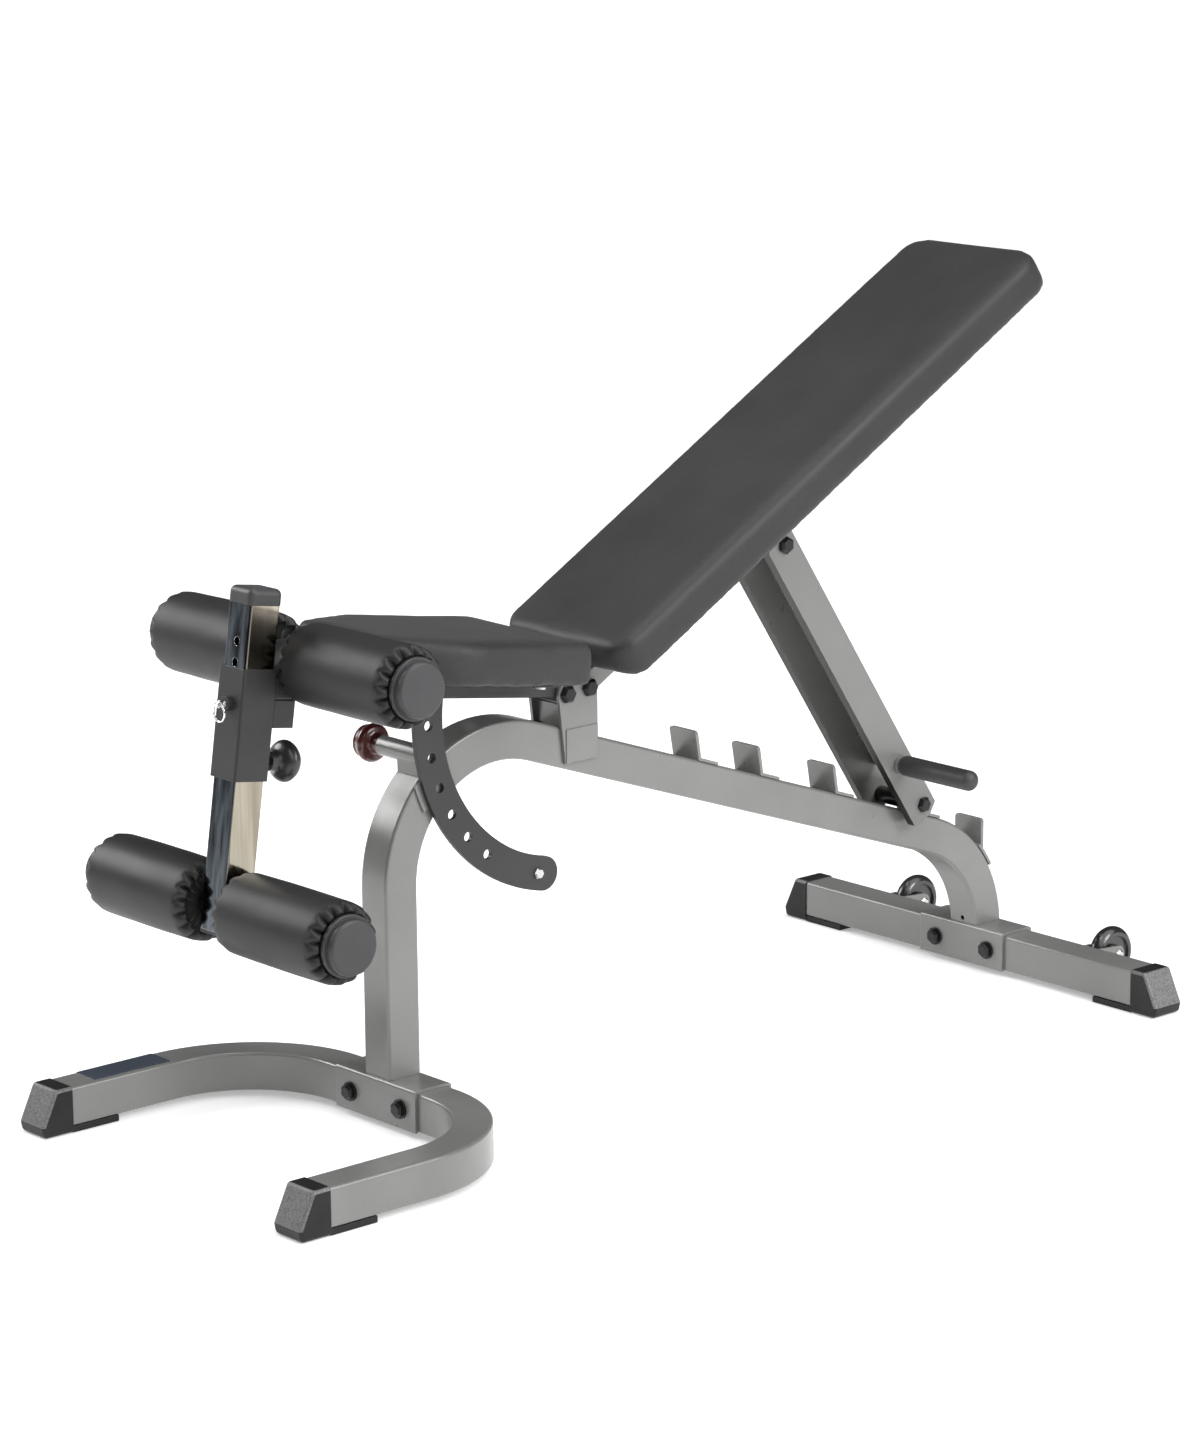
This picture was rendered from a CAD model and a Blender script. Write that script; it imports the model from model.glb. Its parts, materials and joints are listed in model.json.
"""Looks for the adjustable sit up bench: materials, upholstery, foam rollers, lights and camera."""

import json
import math
import random

import bmesh
import bpy
from mathutils import Matrix, Vector, noise


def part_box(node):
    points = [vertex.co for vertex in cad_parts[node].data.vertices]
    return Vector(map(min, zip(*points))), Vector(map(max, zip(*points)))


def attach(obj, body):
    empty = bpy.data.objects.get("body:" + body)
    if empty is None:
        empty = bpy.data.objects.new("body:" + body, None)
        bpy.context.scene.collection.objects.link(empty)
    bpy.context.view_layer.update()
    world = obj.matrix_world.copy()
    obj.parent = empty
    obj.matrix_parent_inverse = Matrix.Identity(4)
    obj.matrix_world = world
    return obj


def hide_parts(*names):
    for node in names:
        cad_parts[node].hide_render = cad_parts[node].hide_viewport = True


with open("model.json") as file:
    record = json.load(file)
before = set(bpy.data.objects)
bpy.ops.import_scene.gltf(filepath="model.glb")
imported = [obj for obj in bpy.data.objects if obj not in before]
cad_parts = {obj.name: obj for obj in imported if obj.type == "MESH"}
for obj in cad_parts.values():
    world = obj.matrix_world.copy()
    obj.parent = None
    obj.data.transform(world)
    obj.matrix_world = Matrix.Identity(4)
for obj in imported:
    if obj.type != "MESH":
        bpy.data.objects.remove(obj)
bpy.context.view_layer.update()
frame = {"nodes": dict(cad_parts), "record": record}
record = frame["record"]
nodes = frame["nodes"]

# --- Material kit -------------------------------------------------------------------------


class Shader:
    """A Principled material with short calls to add nodes to it."""

    def __init__(self, name):
        self.material = bpy.data.materials.new(name)
        self.material.use_nodes = True
        self.tree = self.material.node_tree
        self.bsdf = self.tree.nodes["Principled BSDF"]
        self.place = self.node("ShaderNodeTexCoord").outputs["Object"]

    def node(self, kind, **settings):
        made = self.tree.nodes.new(kind)
        for key, value in settings.items():
            setattr(made, key, value)
        return made

    def link(self, source, target):
        self.tree.links.new(source, target)

    def set(self, **values):
        for key, value in values.items():
            self.bsdf.inputs[key.replace("_", " ")].default_value = value

    def noise(self, scale, detail=4.0, rough=0.55, stretch=None, distortion=0.0):
        """Noise values over the object's own space, stretched along an axis if asked."""
        made = self.node("ShaderNodeTexNoise")
        made.inputs["Scale"].default_value = scale
        made.inputs["Detail"].default_value = detail
        made.inputs["Roughness"].default_value = rough
        made.inputs["Distortion"].default_value = distortion
        if stretch:
            mapping = self.node("ShaderNodeMapping")
            mapping.inputs["Scale"].default_value = stretch
            self.link(self.place, mapping.inputs["Vector"])
            self.link(mapping.outputs["Vector"], made.inputs["Vector"])
        else:
            self.link(self.place, made.inputs["Vector"])
        return made.outputs["Fac"]

    def cells(self, scale):
        """Distance from the middle of each small cell."""
        made = self.node("ShaderNodeTexVoronoi")
        made.inputs["Scale"].default_value = scale
        self.link(self.place, made.inputs["Vector"])
        return made.outputs["Distance"]

    def span(self, source, low, high, to_low=0.0, to_high=1.0):
        """Source values from low to high spread over to_low to to_high."""
        made = self.node("ShaderNodeMapRange")
        ends = {"From Min": low, "From Max": high, "To Min": to_low, "To Max": to_high}
        for key, value in ends.items():
            made.inputs[key].default_value = value
        self.link(source, made.inputs["Value"])
        return made.outputs["Result"]

    def facing(self, axis):
        """How far the surface faces along a world axis, from -1 to 1."""
        split = self.node("ShaderNodeSeparateXYZ")
        self.link(self.node("ShaderNodeNewGeometry").outputs["Normal"], split.inputs[0])
        return split.outputs[axis]

    def math(self, operation, a, b):
        made = self.node("ShaderNodeMath", operation=operation)
        for socket, value in zip(made.inputs, (a, b)):
            if isinstance(value, (int, float)):
                socket.default_value = value
            else:
                self.link(value, socket)
        return made.outputs["Value"]

    def mix(self, factor, a, b):
        made = self.node("ShaderNodeMix", data_type="RGBA")
        self.link(factor, made.inputs["Factor"])
        for key, value in (("A", a), ("B", b)):
            socket = [s for s in made.inputs if s.name == key and s.type == "RGBA"][0]
            if isinstance(value, tuple):
                socket.default_value = (*value, 1)
            else:
                self.link(value, socket)
        return [s for s in made.outputs if s.type == "RGBA"][0]

    def edges(self, radius=0.0015):
        """How near a sharp edge a point is, and the normal that rounds it."""
        bevel = self.node("ShaderNodeBevel", samples=6)
        bevel.inputs["Radius"].default_value = radius
        rounded = bevel.outputs["Normal"]
        plain = self.node("ShaderNodeNewGeometry").outputs["Normal"]
        dot = self.node("ShaderNodeVectorMath", operation="DOT_PRODUCT")
        self.link(rounded, dot.inputs[0])
        self.link(plain, dot.inputs[1])
        return self.span(dot.outputs["Value"], 0.99, 0.82), rounded

    def bump(self, height, strength, distance, normal=None):
        made = self.node("ShaderNodeBump")
        made.inputs["Strength"].default_value = strength
        made.inputs["Distance"].default_value = distance
        self.link(height, made.inputs["Height"])
        if normal:
            self.link(normal, made.inputs["Normal"])
        return made.outputs["Normal"]

    def finish(self, color, roughness, normal=None):
        self.link(color, self.bsdf.inputs["Base Color"])
        self.link(roughness, self.bsdf.inputs["Roughness"])
        if normal:
            self.link(normal, self.bsdf.inputs["Normal"])
        return self.material


BARE = (0.62, 0.61, 0.58)


def painted(name, color, metallic, rough, flake=0.08, wear=BARE, coat=0.12, cut_edge=None):
    """Sprayed metal paint: fine flake, slight orange peel, wear along sharp edges, dull cut edges."""
    s = Shader(name)
    s.set(Metallic=metallic, Coat_Weight=coat, Coat_Roughness=0.25, Specular_IOR_Level=0.35)
    lift = tuple(min(1.0, c * (1 + 2 * flake) + 0.004) for c in color)
    drop = tuple(c * (1 - 2 * flake) for c in color)
    tone = s.mix(s.span(s.noise(5, 3), 0.35, 0.65), drop, color)
    tone = s.mix(s.math("MULTIPLY", s.span(s.noise(1600, 2), 0.52, 0.7), 0.6), tone, lift)
    edge, rounded = s.edges()
    if cut_edge:
        flat = s.span(s.math("ABSOLUTE", s.facing("Y"), 0), 0.5, 0.6)
        tone = s.mix(flat, cut_edge, tone)
    chips = s.math("MULTIPLY", edge, s.span(s.noise(60, 5, 0.7), 0.5, 0.72))
    tone = s.mix(s.math("MULTIPLY", chips, 0.55), tone, wear)
    roughness = s.span(s.noise(18, 4), 0.3, 0.7, rough - 0.05, rough + 0.07)
    peel = s.math("ADD", s.noise(240, 2), s.math("MULTIPLY", s.noise(1500, 1), 0.35))
    return s.finish(tone, roughness, s.bump(peel, 0.10, 0.0004, rounded))


def plated(name, color, rough):
    """Plated metal with faint handling marks."""
    s = Shader(name)
    s.set(Metallic=1.0)
    dull = tuple(c * 0.82 for c in color)
    tone = s.mix(s.span(s.noise(9, 4), 0.4, 0.7), color, dull)
    rounded = s.edges(0.0008)[1]
    roughness = s.span(s.noise(35, 5), 0.35, 0.75, rough, rough + 0.06)
    return s.finish(tone, roughness, s.bump(s.noise(500, 2), 0.05, 0.0003, rounded))


def moulded(name, color, rough, grain, depth, coat=0.0):
    """Moulded rubber or plastic: fine spark texture, dusty patches and paler edges."""
    s = Shader(name)
    s.set(Coat_Weight=coat, Coat_Roughness=0.12)
    pale = tuple(c * 1.9 + 0.012 for c in color)
    dusty = tuple(c * 1.25 + 0.003 for c in color)
    tone = s.mix(s.span(s.noise(11, 5, 0.6), 0.42, 0.72), color, dusty)
    edge, rounded = s.edges(0.0012)
    tone = s.mix(s.math("MULTIPLY", edge, 0.35), tone, pale)
    roughness = s.span(s.noise(30, 4), 0.3, 0.7, rough - 0.05, rough + 0.1)
    return s.finish(tone, roughness, s.bump(s.noise(grain * 4, 2), depth, 0.0002, rounded))


def vinyl(name, color, rough, grain, depth, sheen=0.0, coat=0.04, seam=None):
    """Upholstery vinyl: pebbled grain with creases, soft wear, and a seam at a level if one is given."""
    s = Shader(name)
    s.set(Sheen_Weight=sheen, Sheen_Roughness=0.45, Specular_IOR_Level=0.3)
    s.set(Coat_Weight=coat, Coat_Roughness=0.4)
    worn = tuple(c * 1.22 + 0.004 for c in color)
    deep = tuple(c * 0.8 for c in color)
    tone = s.mix(s.span(s.noise(3.5, 4), 0.38, 0.68), color, worn)
    pebbles = s.cells(grain)
    tone = s.mix(s.span(pebbles, 0.55, 0.95), tone, deep)
    roughness = s.span(s.noise(7, 4), 0.3, 0.7, rough - 0.05, rough + 0.06)
    creases = s.noise(grain * 0.45, 3, 0.6, distortion=0.6)
    height = s.math("SUBTRACT", s.math("MULTIPLY", creases, 0.6), s.math("MULTIPLY", pebbles, 0.8))
    soft = s.bump(s.noise(28, 3), 0.12, 0.002)
    if seam:
        up, level = seam
        rise = s.node("ShaderNodeVectorMath", operation="DOT_PRODUCT")
        rise.inputs[1].default_value = up
        s.link(s.place, rise.inputs[0])
        wander = s.span(s.noise(14, 2), 0.3, 0.7, level - 0.0004, level + 0.0004)
        away = s.math("ABSOLUTE", s.math("SUBTRACT", rise.outputs["Value"], wander), 0)
        groove = s.span(away, 0.0013, 0.0004)
        tone = s.mix(s.math("MULTIPLY", groove, 0.85), tone, tuple(c * 0.12 for c in color))
        soft = s.bump(s.span(away, 0.0035, 0.0, 1, 0), 0.9, 0.0015, soft)
    return s.finish(tone, roughness, s.bump(height, depth, 0.0004, soft))


def dusty_rubber(name):
    """Boot rubber whose slanted faces are scuffed paler than its sides."""
    s = Shader(name)
    up = s.facing("Z")
    slant = s.math("MULTIPLY", s.span(up, 0.1, 0.2), s.span(up, 0.98, 0.9))
    grit = s.cells(420)
    scuffed = s.mix(s.span(grit, 0.3, 0.8), (0.17, 0.17, 0.17), (0.1, 0.1, 0.1))
    black = s.mix(s.span(s.noise(14, 5), 0.4, 0.7), (0.006, 0.006, 0.006), (0.012, 0.012, 0.012))
    edge, rounded = s.edges(0.0012)
    tone = s.mix(slant, black, scuffed)
    tone = s.mix(s.math("MULTIPLY", edge, 0.3), tone, (0.09, 0.09, 0.09))
    roughness = s.span(s.noise(30, 4), 0.3, 0.7, 0.38, 0.52)
    s.set(Specular_IOR_Level=0.3)
    return s.finish(tone, roughness, s.bump(grit, 0.35, 0.0006, rounded))


def chromed(name):
    """Old chrome plate: long streaks of haze down the tube, dark in front and warm on the sides."""
    s = Shader(name)
    s.set(Metallic=1.0)
    front = s.span(s.facing("X"), -0.35, -0.8)
    streak = s.span(s.noise(60, 3, 0.6, (1, 1, 0.05)), 0.38, 0.62)
    cool = s.mix(streak, (0.015, 0.018, 0.022), (0.1, 0.115, 0.13))
    warm = s.mix(streak, (0.25, 0.222, 0.175), (0.36, 0.33, 0.27))
    edge, rounded = s.edges(0.0014)
    tone = s.mix(s.math("MULTIPLY", edge, 0.5), s.mix(front, warm, cool), (0.8, 0.79, 0.76))
    roughness = s.span(s.noise(35, 5), 0.35, 0.75, 0.08, 0.16)
    return s.finish(tone, roughness, s.bump(s.noise(500, 2), 0.04, 0.0003, rounded))


def backing_cloth(name):
    """Thin woven black cloth stapled over plywood."""
    s = Shader(name)
    height = None
    for axis in ("X", "Y"):
        wave = s.node("ShaderNodeTexWave", bands_direction=axis)
        wave.inputs["Scale"].default_value = 420
        wave.inputs["Distortion"].default_value = 0.6
        s.link(s.place, wave.inputs["Vector"])
        threads = wave.outputs["Fac"]
        height = s.math("MULTIPLY", height, threads) if height else threads
    tone = s.mix(height, (0.008, 0.008, 0.009), (0.03, 0.03, 0.032))
    roughness = s.span(s.noise(20, 4), 0.3, 0.7, 0.8, 0.95)
    return s.finish(tone, roughness, s.bump(height, 0.3, 0.0004))


SILVER = (0.188, 0.188, 0.182)
OLIVE = (0.012, 0.0108, 0.008)
CHARCOAL = (0.023, 0.023, 0.0235)
LOOKS = {
    "frame_paint": painted("frame_paint", SILVER, 0.15, 0.32, coat=0.5),
    "dark_plate": painted("dark_plate", (0.03, 0.03, 0.03), 0.1, 0.42, flake=0.12, wear=(0.2, 0.2, 0.2)),
    "chrome": chromed("chrome"),
    "black_bolt": painted("black_bolt", (0.011, 0.011, 0.012), 0.3, 0.3, wear=(0.12, 0.12, 0.12)),
    "upholstery": vinyl("upholstery", CHARCOAL, 0.5, 620, 0.22, sheen=0.04),
    "roller_vinyl": vinyl("roller_vinyl", (0.012, 0.012, 0.0125), 0.5, 900, 0.08, coat=0.1),
    "roller_disc": moulded("roller_disc", (0.03, 0.03, 0.032), 0.45, 300, 0.35),
    "board": backing_cloth("board"),
    "boot_rubber": dusty_rubber("boot_rubber"),
    "grip_rubber": moulded("grip_rubber", (0.026, 0.026, 0.026), 0.5, 200, 0.4),
    "knob_plastic": moulded("knob_plastic", (0.075, 0.008, 0.006), 0.28, 500, 0.05, coat=0.6),
    "black_knob": moulded("black_knob", (0.014, 0.014, 0.015), 0.35, 400, 0.1, coat=0.3),
    "wheel_plastic": moulded("wheel_plastic", (0.01, 0.01, 0.01), 0.25, 400, 0.08, coat=0.5),
    "zinc": plated("zinc", (0.6, 0.6, 0.6), 0.24),
    "label": moulded("label", (0.03, 0.042, 0.06), 0.3, 500, 0.05, coat=0.4),
}

slot_of = {part["node"]: part["material_slot"] for part in record["subparts"]}
BRIGHT = plated("bright_chrome", (0.8, 0.8, 0.78), 0.1)
BY_NODE = {
    "ring_pin": BRIGHT,
    "pin_ring": BRIGHT,
    "pull_pin": BRIGHT,
    "strut_plates": painted("strut_paint", SILVER, 0.15, 0.32, coat=0.0, cut_edge=OLIVE),
}
for name, thing in nodes.items():
    thing.data.materials.clear()
    thing.data.materials.append(BY_NODE.get(name, LOOKS[slot_of[name]]))

# --- Directions of the tilted parts -------------------------------------------------------

joints = {joint["name"]: joint for joint in record["behaviour"]["joints"]}
BACK_TILT = math.radians(30)
SEAT_TILT = math.radians(-8.5)
back_pivot = Vector(joints["back_raise"]["pos_m"])
seat_pivot = Vector(joints["seat_tilt"]["pos_m"])


def tilted(origin, angle):
    """World from local: x along the part to the rear, y to the right, z along its normal."""
    return Matrix.Translation(origin) @ Matrix.Rotation(-angle, 4, "Y")


def new_piece(name, mesh, body, look):
    """A smooth visible piece riding on a body, with its finish."""
    piece = bpy.data.objects.new(name, mesh)
    bpy.context.scene.collection.objects.link(piece)
    mesh.materials.append(look)
    for face in mesh.polygons:
        face.use_smooth = True
    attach(piece, body)
    return piece


# --- Foam rollers -------------------------------------------------------------------------

ROLLER_RADIUS = 0.051
BORE = 0.0131
SHOULDER = 0.019  # how far in from each end the cover starts to turn over
COVER_MOUTH = 0.0375  # radius where the turned cover meets the end disc
PLEATS = 17
AROUND = PLEATS * 14
PUCKER = 0.009  # depth of a pleat in the gathered cover
FOLD_MEAN = 0.75  # the part of a pleat's height that keeps the plain section
SWELL = 0.0009  # the most that a roller stands out past its radius
SPINE_STEPS = 20  # sections from an end's shoulder to the middle


def roller_profile(length):
    """Points (along, out, gather) of a roller's section; gather says how much the cover puckers."""
    end = -length / 2
    out = ROLLER_RADIUS
    points = [(end + 0.006, BORE, 0.0), (end + 0.0055, 0.022, 0.05), (end + 0.005, 0.031, 0.25)]
    points += [(end + 0.0045, 0.035, 0.6), (end + 0.0035, COVER_MOUTH, 0.9)]
    for step in range(1, 15):
        turn = math.radians(90 * step / 14)
        along = end + SHOULDER - (SHOULDER - 0.001) * max(0.0, math.cos(turn)) ** 0.8
        gather = max(0.0, 1.0 - (step / 12) ** 1.6)
        points.append((along, out - (out - COVER_MOUTH) * (1 - math.sin(turn)), gather))
    for step in range(1, SPINE_STEPS + 1):
        share = step / (2 * SPINE_STEPS)
        along = end + SHOULDER + (length - 2 * SHOULDER) * share
        points.append((along, out + 0.0006 * math.sin(math.pi * share), 0.0))
    mirror = [(-along, radius, gather) for along, radius, gather in reversed(points[:-1])]
    return points + mirror


def make_roller(name, seed):
    """A foam tube in a vinyl cover that is gathered round the disc at each end."""
    low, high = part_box(name)
    centre = (Vector(low) + Vector(high)) / 2
    length = high[1] - low[1]
    rng = random.Random(seed)
    phases = [rng.uniform(-0.25, 0.25) for _ in range(PLEATS)]
    depths = [rng.uniform(0.7, 1.25) for _ in range(PLEATS)]
    profile = roller_profile(length)
    mesh = bmesh.new()
    rings = []
    for along, radius, gather in profile:
        end = -1 if along < 0 else 1
        ring = []
        for k in range(AROUND):
            turn = 2 * math.pi * k / AROUND
            share = k / AROUND * PLEATS + (0.35 if end > 0 else 0.0)
            pleat = int(share) % PLEATS
            within = share - int(share)
            within += 0.18 * phases[pleat] * math.sin(math.pi * within)
            fold = abs(math.sin(math.pi * within)) ** 0.55
            pucker = gather * depths[pleat] * (fold - FOLD_MEAN)
            lean = 0.05 * gather * math.sin(2 * turn + seed)
            spot = Vector((math.cos(turn), math.sin(turn), along * 9))
            drift = noise.noise(spot * 2.2 + Vector((seed, 0, 0)))
            out = radius + pucker * PUCKER + 0.0004 * drift * (1 if radius > 0.04 else 0)
            out = min(out, ROLLER_RADIUS + SWELL)
            ahead = along + end * pucker * PUCKER
            angle = turn + lean
            offset = Vector((out * math.cos(angle), ahead, out * math.sin(angle)))
            ring.append(mesh.verts.new(centre + offset))
        rings.append(ring)
    rings.append(rings[0])
    for first, second in zip(rings, rings[1:]):
        for k in range(AROUND):
            mesh.faces.new((first[k], first[(k + 1) % AROUND], second[(k + 1) % AROUND], second[k]))
    bmesh.ops.recalc_face_normals(mesh, faces=mesh.faces)
    data = bpy.data.meshes.new(name)
    mesh.to_mesh(data)
    mesh.free()
    foam = new_piece(name + "_foam", data, name, LOOKS["roller_vinyl"])
    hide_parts(name)


ROLLERS = ("upper_roller_left", "upper_roller_right", "lower_roller_left", "lower_roller_right")
for number, name in enumerate(ROLLERS):
    make_roller(name, 3 + 7 * number)

# --- Upholstered pads ---------------------------------------------------------------------


def evaluated(thing):
    """A mesh of the object as its modifiers leave it."""
    return bpy.data.meshes.new_from_object(thing.evaluated_get(bpy.context.evaluated_depsgraph_get()))


SEAT_PAD_BOTTOM = 0.024  # each pad's underside above its pivot, along the pad's normal
BACK_PAD_BOTTOM = 0.015
FIRM_RISE = 0.014  # the cover is tight over the board's edge up to here
SOFT_RISE = 0.012  # and from here on it is free within this much more
SWELL_CAP = 0.0015
SEAM_DROP = 0.013  # the seam runs this far below the top
CLOTH_FRAMES = 20


def puff(name, node, body, view, bottom):
    """A foam pad under tight vinyl: the CAD solid remeshed, inflated a little and smoothed."""
    source = nodes[node].data.copy()
    pad = bpy.data.objects.new(name, source)
    bpy.context.scene.collection.objects.link(pad)
    bpy.context.view_layer.objects.active = pad
    remesh = pad.modifiers.new("remesh", "REMESH")
    remesh.mode = "VOXEL"
    remesh.voxel_size = 0.005
    relax = pad.modifiers.new("relax", "SMOOTH")
    relax.iterations = 3
    bpy.context.view_layer.update()
    shaped = evaluated(pad)
    pad.modifiers.clear()
    pad.data = shaped
    to_local = view.inverted()
    firm_below = bottom + FIRM_RISE
    start = [vertex.co.copy() for vertex in shaped.vertices]
    pins = pad.vertex_groups.new(name="pins")
    for vertex in shaped.vertices:
        height = (to_local @ vertex.co).z
        weight = 1.0 if height < firm_below else max(0.0, 1 - (height - firm_below) / SOFT_RISE)
        pins.add([vertex.index], weight, "REPLACE")
    cloth = pad.modifiers.new("cloth", "CLOTH")
    cloth.settings.quality = 6
    cloth.settings.use_pressure = True
    cloth.settings.uniform_pressure_force = 3
    cloth.settings.effector_weights.gravity = 0
    cloth.settings.vertex_group_mass = "pins"
    cloth.settings.tension_stiffness = 18
    cloth.settings.compression_stiffness = 18
    cloth.settings.bending_stiffness = 2
    cloth.point_cache.frame_start = 1
    cloth.point_cache.frame_end = CLOTH_FRAMES
    for step in range(1, CLOTH_FRAMES + 1):
        bpy.context.scene.frame_set(step)
        bpy.context.view_layer.update()
    swollen = evaluated(pad)
    pad.modifiers.clear()
    for vertex, first, last in zip(shaped.vertices, start, swollen.vertices):
        move = last.co - first
        vertex.co = first + (move if move.length < SWELL_CAP else move.normalized() * SWELL_CAP)
    bpy.context.scene.frame_set(1)
    calm = pad.modifiers.new("calm", "SMOOTH")
    calm.factor = 0.5
    calm.iterations = 20
    finer = pad.modifiers.new("finer", "SUBSURF")
    finer.levels = finer.render_levels = 1
    bpy.context.view_layer.update()
    final = evaluated(pad)
    bpy.data.objects.remove(pad)
    top = max((to_local @ vertex.co).z for vertex in final.vertices)
    up = view.to_3x3().col[2]
    level = up.dot(view.translation) + top - SEAM_DROP
    look = vinyl(name + "_vinyl", CHARCOAL, 0.5, 620, 0.22, sheen=0.04, seam=(up, level))
    piece = new_piece(name, final, body, look)
    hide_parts(node)


seat_view = tilted(seat_pivot, SEAT_TILT)
back_view = tilted(back_pivot, BACK_TILT)
puff("seat_cushion", "seat_pad", "seat", seat_view, SEAT_PAD_BOTTOM)
puff("back_cushion", "back_pad", "back", back_view, BACK_PAD_BOTTOM)

# --- Floor, light and camera --------------------------------------------------------------

FLOOR_REACH = 40
FLOOR_HEIGHT = -0.001

floor_mesh = bpy.data.meshes.new("floor")
corners = [(-1, -1), (1, -1), (1, 1), (-1, 1)]
places = [(x * FLOOR_REACH, y * FLOOR_REACH, FLOOR_HEIGHT) for x, y in corners]
floor_mesh.from_pydata(places, [], [(0, 1, 2, 3)])
floor = bpy.data.objects.new("floor", floor_mesh)
bpy.context.scene.collection.objects.link(floor)
floor_look = Shader("floor")
floor_look.set(Specular_IOR_Level=0.05, Emission_Strength=0.32, Emission_Color=(1, 1, 1, 1))
floor_mesh.materials.append(
    floor_look.finish(
        floor_look.mix(floor_look.noise(3, 3), (0.90, 0.90, 0.90), (0.92, 0.92, 0.92)),
        floor_look.span(floor_look.noise(8, 3), 0, 1, 0.8, 0.95),
    )
)

world = bpy.data.worlds.new("studio")
world.use_nodes = True
background = world.node_tree.nodes["Background"]
background.inputs["Color"].default_value = (0.95, 0.97, 1.0, 1)
background.inputs["Strength"].default_value = 0.1
bpy.context.scene.world = world


def softbox(name, place, target, size, power):
    """A rectangular studio lamp at a place, turned to a target."""
    lamp = bpy.data.lights.new(name, "AREA")
    lamp.shape = "RECTANGLE"
    lamp.size, lamp.size_y = size
    lamp.energy = power
    holder = bpy.data.objects.new(name, lamp)
    bpy.context.scene.collection.objects.link(holder)
    holder.location = place
    aim = Vector(target) - Vector(place)
    holder.rotation_euler = aim.to_track_quat("-Z", "Y").to_euler()


sun = bpy.data.lights.new("sky", "SUN")
sun.energy = 2.7
sun.angle = math.radians(80)
sky = bpy.data.objects.new("sky", sun)
sky.rotation_euler = (math.radians(35), 0, 0)
bpy.context.scene.collection.objects.link(sky)
softbox("overhead", (-0.2, 0.1, 2.8), (0, 0, 0.4), (2.2, 0.5), 18)
softbox("side", (1.6, -4.0, 2.4), (0.1, 0, 0.5), (1.6, 2.4), 120)
softbox("rim", (-2.0, 3.4, 2.5), (-0.4, 0, 0.5), (2.2, 2.0), 120)

SENSOR_HEIGHT = 36
FOCAL_LENGTH = 111.66308
CAMERA_PLACE = (back_pivot.x - 3.6721, -4.2402, 1.7662)
CAMERA_ANGLES = (48.738, 13.037, -0.548)  # heading from +X towards +Y, dip below level, roll

camera_data = bpy.data.cameras.new("camera")
camera_data.sensor_fit = "VERTICAL"
camera_data.sensor_height = SENSOR_HEIGHT
camera_data.lens = FOCAL_LENGTH
camera_data.clip_end = 200
camera = bpy.data.objects.new("camera", camera_data)
bpy.context.scene.collection.objects.link(camera)
yaw, pitch, roll = map(math.radians, CAMERA_ANGLES)
ahead = Vector((math.cos(pitch) * math.cos(yaw), math.cos(pitch) * math.sin(yaw), -math.sin(pitch)))
level = Vector((math.sin(yaw), -math.cos(yaw), 0))
rise = level.cross(ahead)
right = math.cos(roll) * level + math.sin(roll) * rise
up = -math.sin(roll) * level + math.cos(roll) * rise
turn = Matrix((right, up, -ahead)).transposed()
camera.matrix_world = Matrix.Translation(CAMERA_PLACE) @ turn.to_4x4()
bpy.context.scene.camera = camera
bpy.context.scene.view_settings.view_transform = "Standard"
